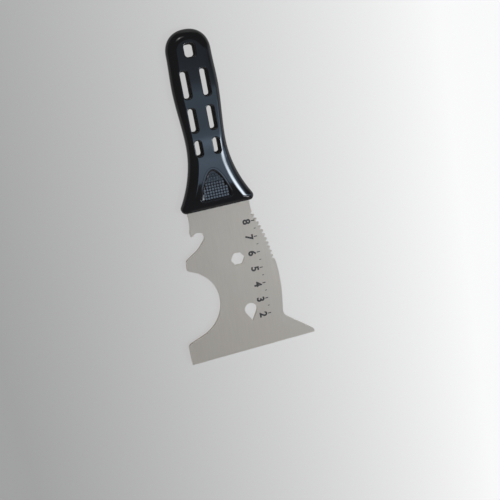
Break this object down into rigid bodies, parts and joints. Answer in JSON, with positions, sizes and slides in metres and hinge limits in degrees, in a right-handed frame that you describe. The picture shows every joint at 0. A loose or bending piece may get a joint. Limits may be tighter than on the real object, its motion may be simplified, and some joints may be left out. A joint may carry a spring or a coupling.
{
  "type": "scraper",
  "caption": "Multi-purpose painter's scraper: a satin steel plate with a wide edge, roller recess, hook, saw teeth and wrench hole in a slotted black plastic handle.",
  "frame": {"origin": "centre of the tool's bounding rectangle, at the height of its lowest face, the handle's flat back", "axes": "+X to the right along the scraping edge, +Y from the edge to the butt of the handle, +Z out of the front face, so the tool lies flat with its front up"},
  "size_m": [0.08, 0.197, 0.008],
  "materials": {
    "satin_steel": "satin, finely ground",
    "black_plastic": "glossy moulded"
  },
  "bodies": {
    "root": {"blade": "satin_steel", "handle_front": "black_plastic", "handle_back": "black_plastic"}
  },
  "joints": []
}
